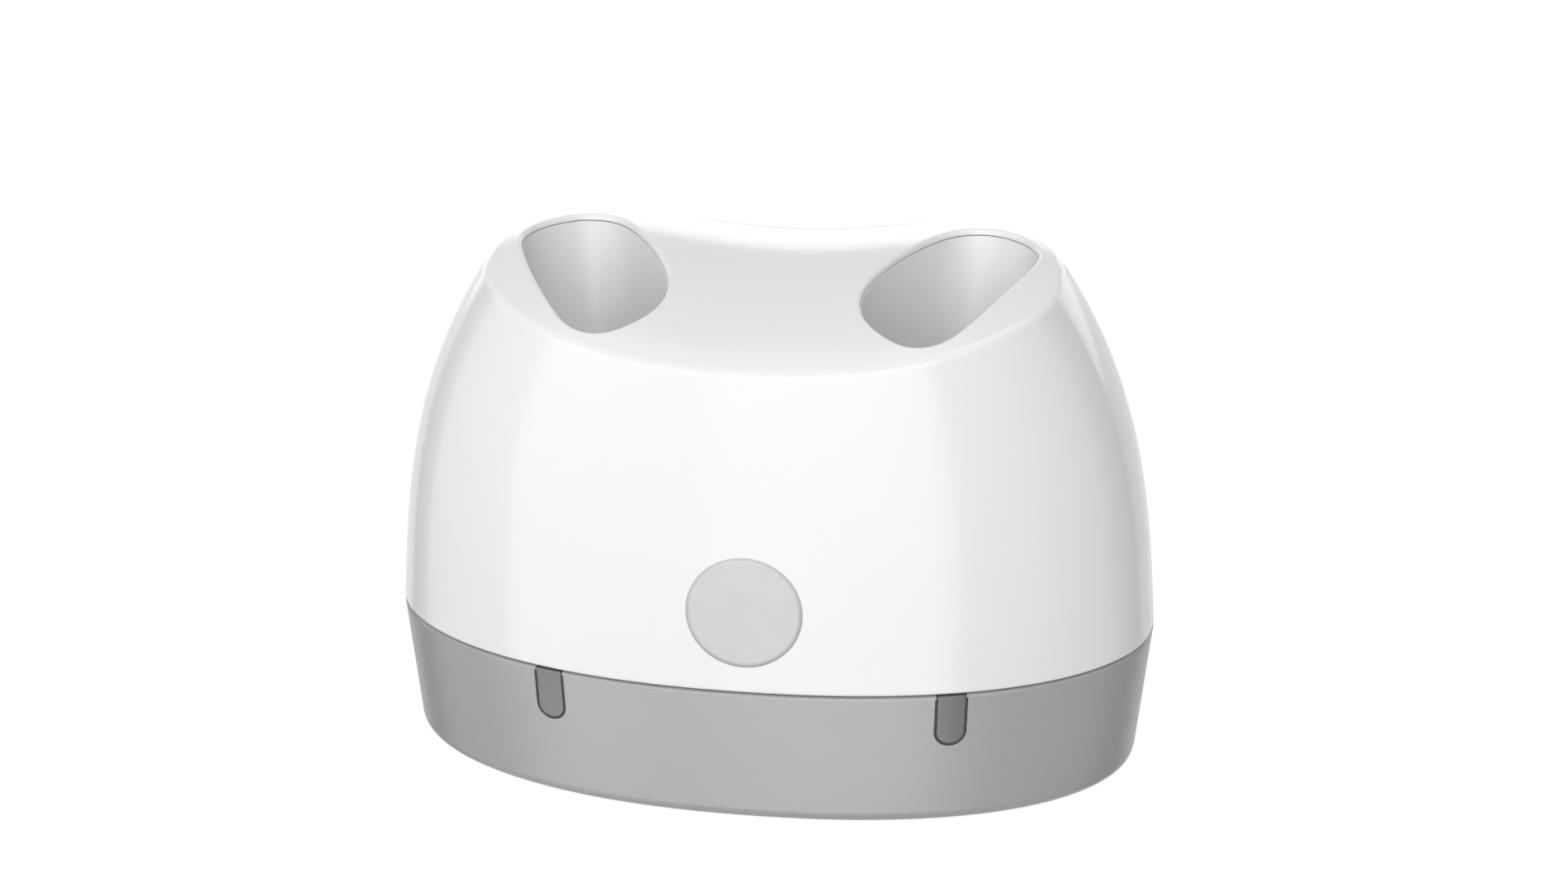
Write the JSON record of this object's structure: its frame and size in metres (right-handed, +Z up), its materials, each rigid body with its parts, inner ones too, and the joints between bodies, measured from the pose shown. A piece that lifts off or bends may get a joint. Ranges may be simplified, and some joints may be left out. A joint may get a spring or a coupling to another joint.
{
  "type": "hearing aid charger",
  "caption": "Desk charger with an oval domed cover, a saddle-shaped top with a slanted well on each side, and a base with indicator windows and a power socket.",
  "frame": {"origin": "centre of the footprint, on the surface that the rubber feet stand on", "axes": "+X to the right seen from the front, +Y to the back where the power socket is, +Z up"},
  "size_m": [0.08, 0.0436, 0.0543],
  "materials": {
    "white_gloss": "polished white moulded plastic",
    "grey_satin": "satin grey moulded plastic",
    "smoked_window": "smoked clear light pipe, polished outside",
    "board_green": "solder-masked fibreglass board",
    "chip_black": "moulded black package",
    "capacitor_tan": "ceramic block",
    "socket_steel": "plated sheet steel",
    "socket_plastic": "moulded black plastic",
    "contact_gold": "gold-plated strip",
    "frame_black": "matt black moulded plastic",
    "screw_steel": "zinc-plated steel",
    "led_lens": "clear moulded lamp",
    "coil_copper": "enamelled copper winding",
    "ferrite_dark": "pressed ferrite",
    "lead_red": "silicone-covered lead",
    "foot_rubber": "matt dark rubber"
  },
  "bodies": {
    "root": {"top_cover": "white_gloss", "base_shell": "grey_satin", "circuit_board": "board_green", "power_regulator": "chip_black", "board_capacitors": "capacitor_tan", "usb_socket_shell": "socket_steel", "usb_socket_tongue": "socket_plastic", "usb_contacts": "contact_gold", "coil_frame": "frame_black", "housing_screws": "screw_steel", "board_screws": "screw_steel", "left_well_liner": "white_gloss", "left_light_pipe": "smoked_window", "left_status_led": "led_lens", "left_charge_controller": "chip_black", "left_charging_coil": "coil_copper", "left_ferrite_disc": "ferrite_dark", "left_coil_connector": "socket_plastic", "left_coil_lead": "lead_red", "right_well_liner": "white_gloss", "right_light_pipe": "smoked_window", "right_status_led": "led_lens", "right_charge_controller": "chip_black", "right_charging_coil": "coil_copper", "right_ferrite_disc": "ferrite_dark", "right_coil_connector": "socket_plastic", "right_coil_lead": "lead_red", "front_left_foot": "foot_rubber", "front_right_foot": "foot_rubber", "back_left_foot": "foot_rubber", "back_right_foot": "foot_rubber"}
  },
  "joints": []
}
